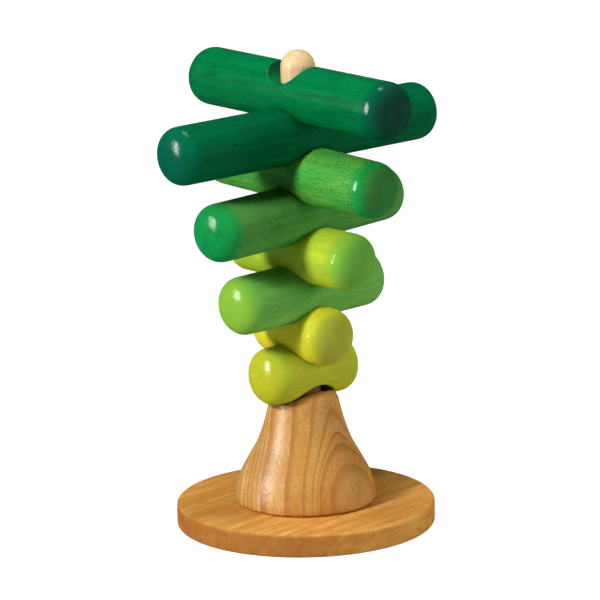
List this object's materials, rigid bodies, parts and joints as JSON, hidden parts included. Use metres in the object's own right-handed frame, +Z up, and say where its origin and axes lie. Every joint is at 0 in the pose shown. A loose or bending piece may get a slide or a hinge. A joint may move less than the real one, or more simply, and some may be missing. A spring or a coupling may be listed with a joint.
{
  "type": "stacking tree toy",
  "caption": "Wooden stacking tree toy: notched round branches, crossed in turn, lift off a peg that stands in a turned trunk on a round base.",
  "frame": {"origin": "centre of the underside of the round base, on the axis of the peg", "axes": "+Z up along the peg; the cradle on the trunk and branches 1, 3, 5 and 7 lie roughly along X, and branches 2, 4, 6 and 8 roughly along Y"},
  "size_m": [0.1542, 0.1322, 0.2239],
  "materials": {
    "base_wood": "satin lacquer over open grain",
    "trunk_wood": "satin lacquer over open grain",
    "peg_wood": "sanded smooth, thin lacquer",
    "branch_1_stain": "yellow green stain under satin lacquer",
    "branch_2_stain": "yellow lime stain under satin lacquer",
    "branch_3_stain": "leaf green stain, lime at the ends, under satin lacquer",
    "branch_4_stain": "lime green stain under satin lacquer",
    "branch_5_stain": "mid green stain under satin lacquer",
    "branch_6_stain": "light green stain under satin lacquer",
    "branch_7_stain": "dark green stain under satin lacquer",
    "branch_8_stain": "dark green stain under satin lacquer"
  },
  "bodies": {
    "stand": {"base_disc": "base_wood", "trunk": "trunk_wood", "centre_peg": "peg_wood"},
    "branch_1": {"branch_1": "branch_1_stain"},
    "branch_2": {"branch_2": "branch_2_stain"},
    "branch_3": {"branch_3": "branch_3_stain"},
    "branch_4": {"branch_4": "branch_4_stain"},
    "branch_5": {"branch_5": "branch_5_stain"},
    "branch_6": {"branch_6": "branch_6_stain"},
    "branch_7": {"branch_7": "branch_7_stain"},
    "branch_8": {"branch_8": "branch_8_stain"}
  },
  "joints": [
    {"name": "branch_1_lift", "type": "slide", "parent": "stand", "child": "branch_1", "axis": [0, 0, 1], "range_m": [0, 0.165]},
    {"name": "branch_2_lift", "type": "slide", "parent": "branch_1", "child": "branch_2", "axis": [0, 0, 1], "range_m": [0, 0.147]},
    {"name": "branch_3_lift", "type": "slide", "parent": "branch_2", "child": "branch_3", "axis": [0, 0, 1], "range_m": [0, 0.128]},
    {"name": "branch_4_lift", "type": "slide", "parent": "branch_3", "child": "branch_4", "axis": [0, 0, 1], "range_m": [0, 0.109]},
    {"name": "branch_5_lift", "type": "slide", "parent": "branch_4", "child": "branch_5", "axis": [0, 0, 1], "range_m": [0, 0.091]},
    {"name": "branch_6_lift", "type": "slide", "parent": "branch_5", "child": "branch_6", "axis": [0, 0, 1], "range_m": [0, 0.072]},
    {"name": "branch_7_lift", "type": "slide", "parent": "branch_6", "child": "branch_7", "axis": [0, 0, 1], "range_m": [0, 0.053]},
    {"name": "branch_8_lift", "type": "slide", "parent": "branch_7", "child": "branch_8", "axis": [0, 0, 1], "range_m": [0, 0.035]}
  ]
}
